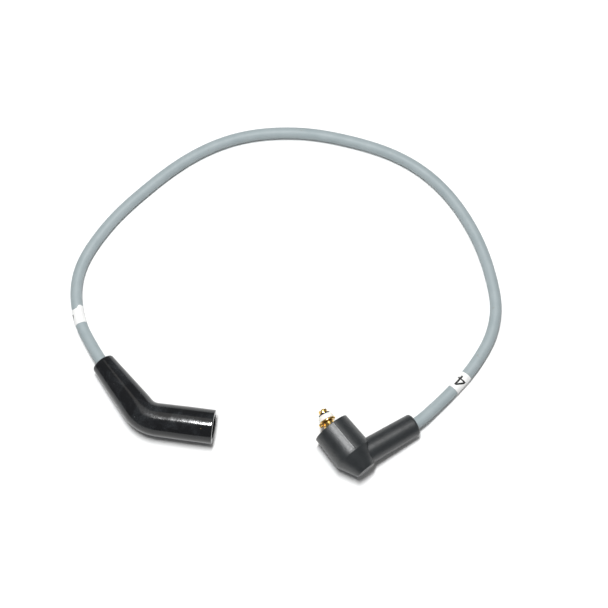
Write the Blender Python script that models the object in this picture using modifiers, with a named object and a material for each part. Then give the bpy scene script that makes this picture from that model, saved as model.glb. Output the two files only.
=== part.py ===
"""High-tension ignition lead: a 7 mm cable with a bent plug boot on one end and an elbow boot with a
snap-in brass contact on the other.

The lead lies on the plane Z = 0, as it would on a bench. X runs from the plug boot to the contact boot,
Y runs away from the boots into the cable's loop, and the origin is under the middle of the two boots.
"""
import math

import bmesh
import bpy
import numpy as np
from mathutils import Matrix, Vector

MM = 0.001

# ---- cable, outside to inside: each layer clears the next by a modelling gap ----
JACKET_R = 3.5
JACKET_WALL = 0.75
BRAID_R = 2.45
BRAID_WALL = 0.25
INSULATION_R = 1.9
INSULATION_WALL = 0.75
CORE_R = 0.85
CORE_TAIL = 1.3           # bare core past the cut end of the jacket
CABLE_STEP = 14.0         # spacing of the cable's cross sections
CABLE_REST_Z = 3.58       # centreline height where the cable lies on the bench
MARKER_GAP = 0.12
MARKER_WALL = 0.2

# ---- plug boot: two straight legs with a bend of about 45 degrees between them ----
PLUG_BEND = Vector((-64.52, -1.6, 10.4))
PLUG_CABLE_LEG = 44.4
PLUG_MOUTH_LEG = 40.6
PLUG_CABLE_AZIMUTH = 127.9     # from the bend towards the cable
PLUG_MOUTH_AZIMUTH = -7.5      # from the bend towards the mouth
PLUG_CABLE_Z = 7.4
PLUG_MOUTH_Z = 10.15
PLUG_CABLE_R = 7.1
PLUG_BEND_R = 9.8
PLUG_MOUTH_R = 10.1
PLUG_BEND_RADIUS = 17.0
PLUG_MOUTH_BORE_R = 7.25
PLUG_MOUTH_BORE_DEPTH = 25.0
CABLE_BORE_R = 3.85
FERRULE_POCKET_R = 4.9
SOCKET_POCKET_R = 5.7

# ---- crimp terminals ----
CABLE_IN_PLUG = 28.0           # jacket length held inside the plug boot
CABLE_IN_ARM = 24.0            # jacket length held inside the contact boot's arm
FERRULE_R = 4.35
FERRULE_BORE_R = 3.85
FERRULE_LENGTH = 11.0
FERRULE_FLOOR = 1.2
CABLE_END_GAP = 1.7            # from the jacket's cut end to the ferrule's floor
NECK_R = 1.7
SOCKET_R = 4.3
SOCKET_BORE_R = 3.3
SOCKET_START = 3.0             # from the bend, along the mouth leg
SOCKET_LENGTH = 11.5
SOCKET_SLOT = 0.9
CLIP_WIRE_R = 0.35
CLIP_R = 5.0

# ---- contact boot: a big socket with a coned back and an arm for the cable ----
BOOT_MOUTH = Vector((44.58, -7.8, 12.0))
BOOT_AZIMUTH = 128.5           # the socket's axis, pointing out of the mouth
BOOT_MOUTH_R = 11.4
BOOT_SHOULDER_R = 12.0
BOOT_SHOULDER = 20.8           # from the mouth to the start of the cone
BOOT_LENGTH = 32.6
BOOT_END_R = 6.2
BOOT_BORE_R = 9.25
BOOT_BORE_DEPTH = 19.0
ELBOW_DEPTH = 23.0             # from the mouth to where the arm's axis crosses
ARM_AZIMUTH = 31.4
ARM_LENGTH = 40.7
ARM_ELBOW_R = 7.6
ARM_END_R = 7.0
ARM_END_Z = 7.05

# ---- contact, measured along its own axis from the plane of the mouth ----
CONTACT_AZIMUTH = 116.5        # it leans 12 degrees in the soft boot
CONTACT_ROOT = -17.0           # where it rocks on the terminal's post
BARREL_START = -19.0
BARREL_END = 3.8
BARREL_ROOT_R = 3.8
BARREL_NECK_R = 3.3
BARREL_BORE_R = 2.75
BARREL_SLOTS = 6
BARREL_SLOT_WIDTH = 0.7
BARREL_SLOT_LENGTH = 7.0
BARREL_FIRST_SLOT = -14.0      # degrees from the top
FLANGE_START = 4.1
FLANGE_END = 5.1
FLANGE_R = 5.0
EAR_OFFSET = 4.6               # from the contact's axis to the ear's
EAR_LENGTH = 2.2
COLLAR_START = 5.4
COLLAR_SHOULDER = 7.5
COLLAR_END = 8.6
COLLAR_R = 4.6
COLLAR_TOP_R = 3.5
RING_START = 8.8
RING_END = 9.35
RING_R = 3.5
CROWN_START = 9.6
CROWN_END = 11.9
CROWN_R = 2.6
CROWN_SLOT = 0.8
PIN_SHANK_R = 1.5
PIN_SHANK_END = 1.1
PIN_BORE_R = 1.85              # the bore of the flange, the collar and the ring
POST_R = 2.0

# ---- the free cable's route on the bench, from the plug boot to the contact boot ----
CABLE_ROUTE = [
    (-99.4, 45.3, 5.3), (-104.8, 55.1, 4.1), (-108.6, 66.2, 3.9), (-110.4, 77.8, 3.7),
    (-109.8, 89.6, 3.58), (-106.4, 101.0, 3.58), (-100.8, 111.6, 3.58), (-87.4, 130.0, 3.58),
    (-71.2, 146.5, 3.58), (-53.6, 161.8, 3.58), (-34.0, 174.6, 3.58), (-12.2, 183.2, 3.58),
    (10.8, 186.6, 3.58), (34.0, 185.8, 3.58), (56.8, 181.2, 3.58), (79.0, 174.0, 3.58),
    (99.4, 162.8, 3.58), (116.4, 147.0, 3.58), (129.6, 127.4, 3.58), (139.0, 105.6, 3.58),
    (144.4, 83.0, 3.58), (145.5, 70.9, 3.58), (144.0, 59.2, 3.58), (140.2, 48.2, 3.58),
    (134.5, 38.2, 3.7), (127.7, 28.6, 3.9), (120.2, 20.1, 3.95), (112.2, 11.8, 4.4),
    (103.6, 3.6, 5.5),
]
PLUG_MARKER_PLACE = (29.2, 40.4)       # from the plug boot's end face, along the cable
CONTACT_MARKER_PLACE = (32.8, 44.9)    # from the arm's end face, along the cable

ROUND_SIDES = 32
SMALL_SIDES = 20

MATERIALS = {
    "cable_silicone": ((0.40, 0.46, 0.48), 0.45, 0.0),
    "glass_braid": ((0.70, 0.68, 0.60), 0.80, 0.0),
    "core_insulation": ((0.80, 0.79, 0.75), 0.60, 0.0),
    "carbon_core": ((0.03, 0.03, 0.03), 0.70, 0.0),
    "marker_film": ((0.90, 0.90, 0.88), 0.50, 0.0),
    "plug_rubber": ((0.02, 0.02, 0.02), 0.25, 0.0),
    "boot_rubber": ((0.04, 0.045, 0.05), 0.50, 0.0),
    "brass": ((0.80, 0.55, 0.18), 0.25, 1.0),
    "spring_steel": ((0.60, 0.60, 0.60), 0.30, 1.0),
    "nylon": ((0.92, 0.91, 0.85), 0.40, 0.0),
    "seal_rubber": ((0.02, 0.02, 0.02), 0.50, 0.0),
}


# ---------------------------------------------------------------- tools

def azimuth(degrees):
    """Unit vector in the bench plane."""
    angle = math.radians(degrees)
    return Vector((math.cos(angle), math.sin(angle), 0.0))


def material(slot):
    """The named Principled material, made once."""
    if slot in bpy.data.materials:
        return bpy.data.materials[slot]
    colour, roughness, metallic = MATERIALS[slot]
    made = bpy.data.materials.new(slot)
    made.use_nodes = True
    shader = made.node_tree.nodes["Principled BSDF"]
    shader.inputs["Base Color"].default_value = (*colour, 1.0)
    shader.inputs["Roughness"].default_value = roughness
    shader.inputs["Metallic"].default_value = metallic
    return made


def add_object(name, mesh, collection, slot=None):
    """Link a mesh as a named object; without a slot it is a cutter."""
    made = bpy.data.objects.new(name, mesh)
    collection.objects.link(made)
    if slot:
        mesh.materials.append(material(slot))
    else:
        made.hide_render = True
        made.display_type = "WIRE"
    return made


def cone_between(name, start, end, r_start, r_end, collection, slot=None, sides=ROUND_SIDES):
    """A capped cylinder or cone from one point to another; points and radii in mm."""
    along = end - start
    bm = bmesh.new()
    bmesh.ops.create_cone(
        bm, cap_ends=True, segments=sides,
        radius1=r_start * MM, radius2=r_end * MM, depth=along.length * MM)
    mesh = bpy.data.meshes.new(name)
    bm.to_mesh(mesh)
    bm.free()
    mesh.shade_smooth()
    mesh.set_sharp_from_angle(angle=math.radians(35))
    made = add_object(name, mesh, collection, slot)
    made.location = (start + end) * 0.5 * MM
    made.rotation_mode = "QUATERNION"
    made.rotation_quaternion = along.to_track_quat("Z", "Y")
    return made


def ball(name, centre, radius, collection):
    """A sphere, used only as a cutter or to round a joint."""
    bm = bmesh.new()
    bmesh.ops.create_uvsphere(bm, u_segments=20, v_segments=12, radius=radius * MM)
    mesh = bpy.data.meshes.new(name)
    bm.to_mesh(mesh)
    bm.free()
    made = add_object(name, mesh, collection)
    made.location = centre * MM
    return made


def turned(name, axis_point, axis, profile, collection, slot=None, sides=ROUND_SIDES):
    """Turn a closed (distance along the axis, radius) outline about an axis with a Screw modifier."""
    mesh = bpy.data.meshes.new(name)
    points = [(radius * MM, 0.0, along * MM) for along, radius in profile]
    edges = [(i, (i + 1) % len(points)) for i in range(len(points))]
    mesh.from_pydata(points, edges, [])
    made = add_object(name, mesh, collection, slot)
    screw = made.modifiers.new("turn", "SCREW")
    screw.axis = "Z"
    screw.angle = 2.0 * math.pi
    screw.steps = sides
    screw.render_steps = sides
    screw.use_merge_vertices = True
    screw.merge_threshold = 1e-6
    screw.use_smooth_shade = True
    made.location = axis_point * MM
    made.rotation_mode = "QUATERNION"
    made.rotation_quaternion = axis.to_track_quat("Z", "Y")
    return made


def tube_curve(name, points, radii, collection, resolution, caps=True):
    """A round-section curve through the points, one radius to a point, in mm."""
    curve = bpy.data.curves.new(name, "CURVE")
    curve.dimensions = "3D"
    curve.twist_mode = "Z_UP"
    curve.bevel_depth = MM
    curve.bevel_resolution = resolution
    curve.use_fill_caps = caps
    spline = curve.splines.new("POLY")
    spline.points.add(len(points) - 1)
    for knot, place, radius in zip(spline.points, points, radii):
        knot.co = (*(place * MM), 1.0)
        knot.radius = radius
    spline.use_smooth = True
    made = bpy.data.objects.new(name, curve)
    collection.objects.link(made)
    return made


def box_cutter(name, centre, rotation, size, tools):
    """A box-shaped cutter; the size is along its own X, Y and Z."""
    bm = bmesh.new()
    bmesh.ops.create_cube(bm, size=1.0)
    bmesh.ops.scale(bm, vec=Vector(size) * MM, verts=bm.verts)
    mesh = bpy.data.meshes.new(name)
    bm.to_mesh(mesh)
    bm.free()
    made = add_object(name, mesh, tools)
    made.location = centre * MM
    made.rotation_mode = "QUATERNION"
    made.rotation_quaternion = rotation
    return made


def as_mesh(curve_object, collection, slot=None):
    """Replace a curve object by its mesh, with the caps welded on."""
    name = curve_object.name
    curve_object.name = name + "_curve"
    evaluated = curve_object.evaluated_get(bpy.context.evaluated_depsgraph_get())
    mesh = bpy.data.meshes.new_from_object(evaluated)
    mesh.name = name
    bm = bmesh.new()
    bm.from_mesh(mesh)
    bmesh.ops.remove_doubles(bm, verts=bm.verts, dist=1e-7)
    bmesh.ops.recalc_face_normals(bm, faces=bm.faces)
    bm.to_mesh(mesh)
    bm.free()
    bpy.data.objects.remove(curve_object)
    return add_object(name, mesh, collection, slot)


def combine(target, tool, operation):
    """Leave an exact Boolean on the target; the tool stays as a hidden guide."""
    boolean = target.modifiers.new(operation.lower() + "_" + tool.name, "BOOLEAN")
    boolean.operation = operation
    boolean.solver = "EXACT"
    boolean.object = tool


def clamped_spline(points, start_tangent, end_tangent, samples=16):
    """Dense points on the cubic spline through the points, leaving and arriving along the tangents."""
    knots = np.array([tuple(p) for p in points])
    gaps = np.linalg.norm(np.diff(knots, axis=0), axis=1)
    count = len(knots)
    system = np.zeros((count, count))
    right = np.zeros((count, 3))
    system[0, 0] = system[-1, -1] = 1.0
    right[0] = tuple(start_tangent)
    right[-1] = tuple(end_tangent)
    for i in range(1, count - 1):
        before, after = gaps[i - 1], gaps[i]
        system[i, i - 1:i + 2] = (1.0 / before, 2.0 / before + 2.0 / after, 1.0 / after)
        right[i] = 3.0 * ((knots[i] - knots[i - 1]) / before**2 + (knots[i + 1] - knots[i]) / after**2)
    slopes = np.linalg.solve(system, right)
    dense = []
    for i in range(count - 1):
        for t in np.arange(samples) / samples:
            dense.append(
                (2*t**3 - 3*t**2 + 1) * knots[i] + (t**3 - 2*t**2 + t) * gaps[i] * slopes[i]
                + (3*t**2 - 2*t**3) * knots[i + 1] + (t**3 - t**2) * gaps[i] * slopes[i + 1])
    dense.append(knots[-1])
    return np.array(dense)


def along_line(line, distances):
    """Points at the given distances along a polyline."""
    reach = np.concatenate(([0.0], np.cumsum(np.linalg.norm(np.diff(line, axis=0), axis=1))))
    return [Vector([float(np.interp(d, reach, line[:, k])) for k in range(3)]) for d in distances]


def line_length(line):
    return float(np.linalg.norm(np.diff(line, axis=0), axis=1).sum())


# ---------------------------------------------------------------- places worked out from the dimensions

PLUG_CABLE_END = PLUG_BEND + azimuth(PLUG_CABLE_AZIMUTH) * PLUG_CABLE_LEG
PLUG_CABLE_END.z = PLUG_CABLE_Z
PLUG_MOUTH = PLUG_BEND + azimuth(PLUG_MOUTH_AZIMUTH) * PLUG_MOUTH_LEG
PLUG_MOUTH.z = PLUG_MOUTH_Z
PLUG_IN = (PLUG_BEND - PLUG_CABLE_END).normalized()        # from the cable end into the plug boot
PLUG_OUT = (PLUG_MOUTH - PLUG_BEND).normalized()           # from the bend out of the mouth

BOOT_OUT = azimuth(BOOT_AZIMUTH)
ELBOW = BOOT_MOUTH - BOOT_OUT * ELBOW_DEPTH
ARM_END = ELBOW + azimuth(ARM_AZIMUTH) * ARM_LENGTH
ARM_END.z = ARM_END_Z
ARM_OUT = (ARM_END - ELBOW).normalized()

CONTACT_OUT = azimuth(CONTACT_AZIMUTH)


def on_contact(distance):
    """The point of the contact's axis at a distance from the plane of the mouth."""
    return BOOT_MOUTH + CONTACT_OUT * distance


def cable_line():
    """The cable's centreline, from its cut end in the plug boot to its cut end in the arm."""
    route = [PLUG_CABLE_END, *(Vector(p) for p in CABLE_ROUTE), ARM_END]
    free = clamped_spline(route, -PLUG_IN, -ARM_OUT)
    free[:, 2] = np.maximum(free[:, 2], CABLE_REST_Z)
    free_length = line_length(free)
    steps = round(free_length / CABLE_STEP)
    points = along_line(free, [free_length * i / steps for i in range(steps + 1)])
    return ([PLUG_CABLE_END + PLUG_IN * CABLE_IN_PLUG, PLUG_CABLE_END + PLUG_IN * 12.0] + points
            + [ARM_END - ARM_OUT * 12.0, ARM_END - ARM_OUT * CABLE_IN_ARM])


# ---------------------------------------------------------------- cable

def cable_layer(name, points, outer_r, wall, slot, parts, resolution):
    """One tubular layer of the cable, open at both ends."""
    tube = as_mesh(tube_curve(name, points, [outer_r] * len(points), parts, resolution, caps=False),
                   parts, slot)
    solid = tube.modifiers.new("wall", "SOLIDIFY")
    solid.thickness = wall * MM
    solid.offset = -1.0
    solid.use_even_offset = True
    return tube


def make_cable(parts):
    points = cable_line()
    cable_layer("cable_jacket", points, JACKET_R, JACKET_WALL, "cable_silicone", parts, 3)
    cable_layer("cable_braid", points, BRAID_R, BRAID_WALL, "glass_braid", parts, 2)
    cable_layer("cable_insulation", points, INSULATION_R, INSULATION_WALL, "core_insulation", parts, 2)
    tails = [points[0] + PLUG_IN * CORE_TAIL, *points, points[-1] - ARM_OUT * CORE_TAIL]
    core = tube_curve("conductor_core", tails, [CORE_R] * len(tails), parts, 2)
    as_mesh(core, parts, "carbon_core")

    line = np.array([tuple(p) for p in points])
    whole = line_length(line)
    for name, place, from_start in (("plug_marker", PLUG_MARKER_PLACE, True),
                                    ("contact_marker", CONTACT_MARKER_PLACE, False)):
        if from_start:
            start, end = (CABLE_IN_PLUG + d for d in place)
        else:
            end, start = (whole - CABLE_IN_ARM - d for d in place)
        sleeve = along_line(line, [start, *corners_between(line, start, end), end])
        cable_layer(name, sleeve, JACKET_R + MARKER_GAP + MARKER_WALL, MARKER_WALL, "marker_film", parts, 3)


def corners_between(line, start, end):
    """Distances of the polyline's own corners that lie between two distances."""
    reach = np.cumsum(np.linalg.norm(np.diff(line, axis=0), axis=1))
    return [float(d) for d in reach if start + 0.5 < d < end - 0.5]


# ---------------------------------------------------------------- plug boot and its terminal

def plug_boot_axis():
    """Centre points and radii of the bent boot, from its cable end to its mouth."""
    half = math.radians(180.0 - (PLUG_CABLE_AZIMUTH - PLUG_MOUTH_AZIMUTH)) / 2.0
    cut = PLUG_BEND_RADIUS * math.tan(half)
    points, radii = [], []

    def add(point, radius):
        points.append(point)
        radii.append(radius)

    for inset, drop in ((0.0, 1.3), (0.35, 0.55), (1.2, 0.0)):      # rounded cable end
        add(PLUG_CABLE_END + PLUG_IN * inset, PLUG_CABLE_R - drop)
    arc_start = PLUG_BEND - PLUG_IN * cut
    arc_end = PLUG_BEND + PLUG_OUT * cut
    straight = (arc_start - PLUG_CABLE_END).length
    for share in (0.25, 0.5, 0.75):
        add(PLUG_CABLE_END.lerp(arc_start, share), PLUG_CABLE_R + (PLUG_BEND_R - PLUG_CABLE_R) * share
            * straight / (straight - 1.0))
    bend_steps = 6
    for i in range(bend_steps + 1):                                  # the bend, as a quadratic arc
        t = i / bend_steps
        add(arc_start * (1 - t)**2 + PLUG_BEND * 2 * t * (1 - t) + arc_end * t**2,
            PLUG_BEND_R + (PLUG_MOUTH_R - PLUG_BEND_R) * 0.5 * t)
    add(PLUG_MOUTH - PLUG_OUT * 8.0, PLUG_MOUTH_R)
    for inset, drop in ((0.9, 0.0), (0.25, 0.25), (0.0, 0.7)):       # rounded lip
        add(PLUG_MOUTH - PLUG_OUT * inset, PLUG_MOUTH_R - drop)
    return points, radii


def make_plug_boot(parts, tools):
    points, radii = plug_boot_axis()
    boot = as_mesh(tube_curve("plug_boot", points, radii, parts, 12), parts, "plug_rubber")
    pocket_start = CABLE_IN_PLUG + CABLE_END_GAP + FERRULE_FLOOR - FERRULE_LENGTH - 1.5
    socket_end = PLUG_MOUTH_LEG - PLUG_MOUTH_BORE_DEPTH
    cuts = [
        cone_between("plug_cable_bore", PLUG_CABLE_END - PLUG_IN, PLUG_CABLE_END + PLUG_IN * 30.0,
                     CABLE_BORE_R, CABLE_BORE_R, tools),
        cone_between("plug_ferrule_pocket", PLUG_CABLE_END + PLUG_IN * pocket_start, PLUG_BEND,
                     FERRULE_POCKET_R, FERRULE_POCKET_R, tools),
        ball("plug_pocket_corner", PLUG_BEND, SOCKET_POCKET_R, tools),
        cone_between("plug_socket_pocket", PLUG_BEND, PLUG_BEND + PLUG_OUT * (socket_end + 1.0),
                     SOCKET_POCKET_R, SOCKET_POCKET_R, tools),
        cone_between("plug_mouth_bore", PLUG_BEND + PLUG_OUT * socket_end, PLUG_MOUTH + PLUG_OUT,
                     PLUG_MOUTH_BORE_R, PLUG_MOUTH_BORE_R, tools),
    ]
    for tool in cuts:
        combine(boot, tool, "DIFFERENCE")


def ferrule(name, floor_point, outward, parts, tools):
    """The crimp barrel of a terminal: closed at its floor, open towards the cable."""
    body = cone_between(name, floor_point, floor_point + outward * FERRULE_LENGTH,
                        FERRULE_R, FERRULE_R, parts, "brass", SMALL_SIDES)
    bore = cone_between(name + "_crimp_bore", floor_point + outward * FERRULE_FLOOR,
                        floor_point + outward * (FERRULE_LENGTH + 1.0),
                        FERRULE_BORE_R, FERRULE_BORE_R, tools, sides=SMALL_SIDES)
    combine(body, bore, "DIFFERENCE")
    return body


def make_plug_terminal(parts, tools):
    floor_point = PLUG_CABLE_END + PLUG_IN * (CABLE_IN_PLUG + CABLE_END_GAP + FERRULE_FLOOR)
    terminal = ferrule("plug_terminal", floor_point, -PLUG_IN, parts, tools)
    socket_root = PLUG_BEND + PLUG_OUT * SOCKET_START
    socket_mouth = socket_root + PLUG_OUT * SOCKET_LENGTH
    neck = as_mesh(tube_curve(
        "plug_terminal_neck",
        [floor_point - PLUG_IN * 0.6, PLUG_BEND - PLUG_IN * 3.0, PLUG_BEND.lerp(socket_root, 0.3),
         socket_root + PLUG_OUT * 0.6],
        [NECK_R] * 4, tools, 4), tools)
    socket = cone_between("plug_terminal_socket", socket_root, socket_mouth,
                          SOCKET_R, SOCKET_R, tools, sides=SMALL_SIDES)
    combine(terminal, neck, "UNION")
    combine(terminal, socket, "UNION")
    socket_bore = cone_between("plug_terminal_bore", socket_root + PLUG_OUT * 1.2,
                               socket_mouth + PLUG_OUT, SOCKET_BORE_R, SOCKET_BORE_R, tools,
                               sides=SMALL_SIDES)
    combine(terminal, socket_bore, "DIFFERENCE")
    slot = box_cutter("plug_terminal_slot", socket_mouth - PLUG_OUT * SOCKET_LENGTH * 0.30,
                      PLUG_OUT.to_track_quat("Z", "Y"),
                      (SOCKET_SLOT, 2.6 * SOCKET_R, SOCKET_LENGTH * 0.75), tools)
    combine(terminal, slot, "DIFFERENCE")

    clip_centre = socket_root + PLUG_OUT * (SOCKET_LENGTH * 0.5)
    side = PLUG_OUT.cross(Vector((0, 0, 1))).normalized()
    up = side.cross(PLUG_OUT)
    turns = 22
    gap = math.radians(50.0)
    ring = []
    for i in range(turns + 1):
        angle = gap / 2 + (2 * math.pi - gap) * i / turns
        ring.append(clip_centre + (side * math.sin(angle) - up * math.cos(angle)) * CLIP_R)
    as_mesh(tube_curve("plug_terminal_clip", ring, [CLIP_WIRE_R] * len(ring), parts, 2),
            parts, "spring_steel")


# ---------------------------------------------------------------- contact boot and its terminal

def make_contact_boot(parts, tools):
    profile = [
        (0.0, 0.0), (0.0, BOOT_MOUTH_R - 0.5), (-0.5, BOOT_MOUTH_R),
        (-BOOT_SHOULDER, BOOT_SHOULDER_R), (-BOOT_SHOULDER - 0.8, BOOT_SHOULDER_R - 0.25),
        (-BOOT_LENGTH, BOOT_END_R), (-BOOT_LENGTH, 0.0),
    ]
    boot = turned("contact_boot", BOOT_MOUTH, BOOT_OUT, profile, parts, "boot_rubber", 36)
    lengths = (0.0, ARM_LENGTH - 1.6, ARM_LENGTH - 0.5, ARM_LENGTH)
    radii = (ARM_ELBOW_R, ARM_END_R, ARM_END_R - 0.35, ARM_END_R - 1.2)
    reach = (ARM_END - ELBOW).length
    arm_points = [ELBOW + ARM_OUT * (reach * length / ARM_LENGTH) for length in lengths]
    arm = as_mesh(tube_curve("contact_boot_arm", arm_points, radii, tools, 12), tools)
    combine(boot, arm, "UNION")
    ferrule_floor = ARM_LENGTH - CABLE_IN_ARM - CABLE_END_GAP - FERRULE_FLOOR
    cuts = [
        cone_between("arm_cable_bore", ARM_END + ARM_OUT, ARM_END - ARM_OUT * 26.0,
                     CABLE_BORE_R, CABLE_BORE_R, tools),
        cone_between("arm_ferrule_pocket", ELBOW + ARM_OUT * (ferrule_floor + FERRULE_LENGTH + 1.5),
                     ELBOW - ARM_OUT * 4.0, FERRULE_POCKET_R, FERRULE_POCKET_R, tools),
        cone_between("boot_bore", BOOT_MOUTH + BOOT_OUT, BOOT_MOUTH - BOOT_OUT * BOOT_BORE_DEPTH,
                     BOOT_BORE_R, BOOT_BORE_R, tools, sides=36),
        cone_between("boot_elbow_pocket", BOOT_MOUTH - BOOT_OUT * 15.0,
                     BOOT_MOUTH - BOOT_OUT * (ELBOW_DEPTH + 2.5),
                     BOOT_BORE_R - 1.5, BOOT_BORE_R - 3.0, tools),
    ]
    for tool in cuts:
        combine(boot, tool, "DIFFERENCE")


def make_contact_elbow(parts, tools):
    """The crimp ferrule in the arm, its bent neck and the post that the contact rocks on."""
    floor_point = ARM_END - ARM_OUT * (CABLE_IN_ARM + CABLE_END_GAP + FERRULE_FLOOR)
    terminal = ferrule("contact_elbow", floor_point, ARM_OUT, parts, tools)
    root = on_contact(CONTACT_ROOT)
    bend = ELBOW.lerp(root, 0.55)
    neck = as_mesh(tube_curve(
        "contact_elbow_neck",
        [floor_point + ARM_OUT * 0.6, floor_point - ARM_OUT * 4.0, bend - CONTACT_OUT * 4.2,
         on_contact(CONTACT_ROOT - 5.2), on_contact(CONTACT_ROOT - 2.4)],
        [NECK_R] * 5, tools, 4), tools)
    combine(terminal, neck, "UNION")
    post = cone_between("contact_elbow_post", on_contact(CONTACT_ROOT - 3.0), on_contact(CONTACT_ROOT + 2.5),
                        POST_R, POST_R, tools, sides=SMALL_SIDES)
    combine(terminal, post, "UNION")


# ---------------------------------------------------------------- the rocking contact

def make_contact(parts, tools):
    mouth, out = BOOT_MOUTH, CONTACT_OUT
    barrel = turned("contact_barrel", mouth, out, [
        (BARREL_END, BARREL_BORE_R), (BARREL_END, BARREL_NECK_R), (BARREL_END - 4.5, BARREL_ROOT_R),
        (BARREL_START, BARREL_ROOT_R), (BARREL_START, BARREL_BORE_R)], parts, "brass", 36)
    up = Vector((0.0, 0.0, 1.0))
    for i in range(BARREL_SLOTS):
        turn = Matrix.Rotation(math.radians(BARREL_FIRST_SLOT + 360.0 / BARREL_SLOTS * i), 3, out)
        outward = turn @ up
        axes = Matrix((outward.cross(out), outward, out)).transposed()
        slot = box_cutter(f"barrel_slot_{i}", mouth + out * (BARREL_END - 4.2) + outward * BARREL_ROOT_R,
                          axes.to_quaternion(), (BARREL_SLOT_WIDTH, 3.0, BARREL_SLOT_LENGTH), tools)
        combine(barrel, slot, "DIFFERENCE")

    flange = turned("contact_flange", mouth, out, [
        (FLANGE_END, PIN_BORE_R), (FLANGE_END, FLANGE_R), (FLANGE_START, FLANGE_R),
        (FLANGE_START, PIN_BORE_R)], parts, "brass", 36)
    across = out.cross(up).normalized()
    ear_root = mouth + out * (FLANGE_START + 0.5) - across * EAR_OFFSET
    ear = cone_between("contact_flange_ear", ear_root, ear_root - out * EAR_LENGTH, 1.3, 1.0, tools, sides=12)
    combine(flange, ear, "UNION")

    turned("contact_insulator", mouth, out, [
        (COLLAR_END, PIN_BORE_R), (COLLAR_END, COLLAR_TOP_R), (COLLAR_SHOULDER, COLLAR_R),
        (COLLAR_START, COLLAR_R), (COLLAR_START, PIN_BORE_R)], parts, "nylon", 36)
    turned("contact_o_ring", mouth, out, [
        (RING_END, PIN_BORE_R), (RING_END, RING_R - 0.2), (RING_END - 0.2, RING_R),
        (RING_START + 0.2, RING_R), (RING_START, RING_R - 0.2), (RING_START, PIN_BORE_R)],
           parts, "seal_rubber", 28)

    pin = turned("contact_pin", mouth, out, [
        (CROWN_END, 0.0), (CROWN_END, CROWN_R - 0.3), (CROWN_END - 0.4, CROWN_R), (CROWN_START, CROWN_R),
        (CROWN_START, PIN_SHANK_R), (PIN_SHANK_END, PIN_SHANK_R), (PIN_SHANK_END, 0.0)],
                 parts, "brass", 28)
    for i in range(2):
        turn = Matrix.Rotation(math.radians(30.0 + 90.0 * i), 3, out).to_quaternion()
        slot = box_cutter(f"crown_slot_{i}", mouth + out * CROWN_END, turn @ out.to_track_quat("Z", "Y"),
                          (CROWN_SLOT, 8.0, 2.8), tools)
        combine(pin, slot, "DIFFERENCE")


def main():
    for old in list(bpy.data.objects):
        bpy.data.objects.remove(old)
    parts = bpy.data.collections.new("ignition_lead")
    tools = bpy.data.collections.new("cutters_and_guides")
    for collection in (parts, tools):
        bpy.context.scene.collection.children.link(collection)
    make_cable(parts)
    make_plug_boot(parts, tools)
    make_plug_terminal(parts, tools)
    make_contact_boot(parts, tools)
    make_contact_elbow(parts, tools)
    make_contact(parts, tools)


main()
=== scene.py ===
"""The looks of the ignition lead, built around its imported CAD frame.

Lengths are in millimetres, and MM turns them into the metres of the frame.
"""
import math

import bmesh
import bpy
import numpy as np
from mathutils import Matrix, Vector


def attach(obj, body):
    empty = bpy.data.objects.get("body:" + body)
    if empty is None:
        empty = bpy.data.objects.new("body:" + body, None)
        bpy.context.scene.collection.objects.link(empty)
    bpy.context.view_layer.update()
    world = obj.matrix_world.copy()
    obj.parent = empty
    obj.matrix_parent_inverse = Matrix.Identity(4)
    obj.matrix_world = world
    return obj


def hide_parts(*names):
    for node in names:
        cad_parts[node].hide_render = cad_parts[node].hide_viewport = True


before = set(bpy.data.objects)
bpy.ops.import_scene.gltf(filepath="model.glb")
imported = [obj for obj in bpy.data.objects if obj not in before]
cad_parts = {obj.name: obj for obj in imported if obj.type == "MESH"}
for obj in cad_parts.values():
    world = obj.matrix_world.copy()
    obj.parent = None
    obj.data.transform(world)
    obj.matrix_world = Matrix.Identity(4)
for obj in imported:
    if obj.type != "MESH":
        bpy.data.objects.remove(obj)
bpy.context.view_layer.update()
MM = 0.001

# ---------------------------------------------------------------- dimensions, as in the CAD

PLUG_BEND = Vector((-64.52, -1.6, 10.4))
PLUG_CABLE_LEG = 44.4
PLUG_MOUTH_LEG = 40.6
PLUG_CABLE_AZIMUTH = 127.9
PLUG_MOUTH_AZIMUTH = -7.5
PLUG_CABLE_Z = 7.4
PLUG_MOUTH_Z = 10.15
PLUG_CABLE_R = 7.1
PLUG_BEND_R = 9.8
PLUG_MOUTH_R = 10.1
PLUG_BEND_RADIUS = 17.0
PLUG_BORE_R = 7.25
PLUG_BORE_DEPTH = 25.0
CABLE_IN_PLUG = 28.0
CABLE_IN_ARM = 24.0
CABLE_HOLE_R = 3.62
FERRULE_HOLE_R = 4.9
SNAP_HOLE_R = 5.7
FERRULE_R = 4.35
FERRULE_BORE_R = 3.85
FERRULE_LENGTH = 11.0
NECK_R = 1.7
SNAP_R = 4.3
SNAP_BORE_R = 3.3
SNAP_LENGTH = 11.5

BOOT_MOUTH = Vector((44.58, -7.8, 12.0))
BOOT_AZIMUTH = 128.5
BOOT_MOUTH_R = 11.4
BOOT_SHOULDER_R = 12.0
BOOT_SHOULDER = 20.8
BOOT_LENGTH = 32.6
BOOT_END_R = 6.2
BOOT_BORE_R = 9.25
BOOT_BORE_DEPTH = 19.0
ELBOW_DEPTH = 23.0
ARM_AZIMUTH = 31.4
ARM_LENGTH = 40.7
ARM_ELBOW_R = 7.6
ARM_END_R = 7.0
ARM_END_Z = 7.05
ARM_POCKET = (-4.0, 26.4)

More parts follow.
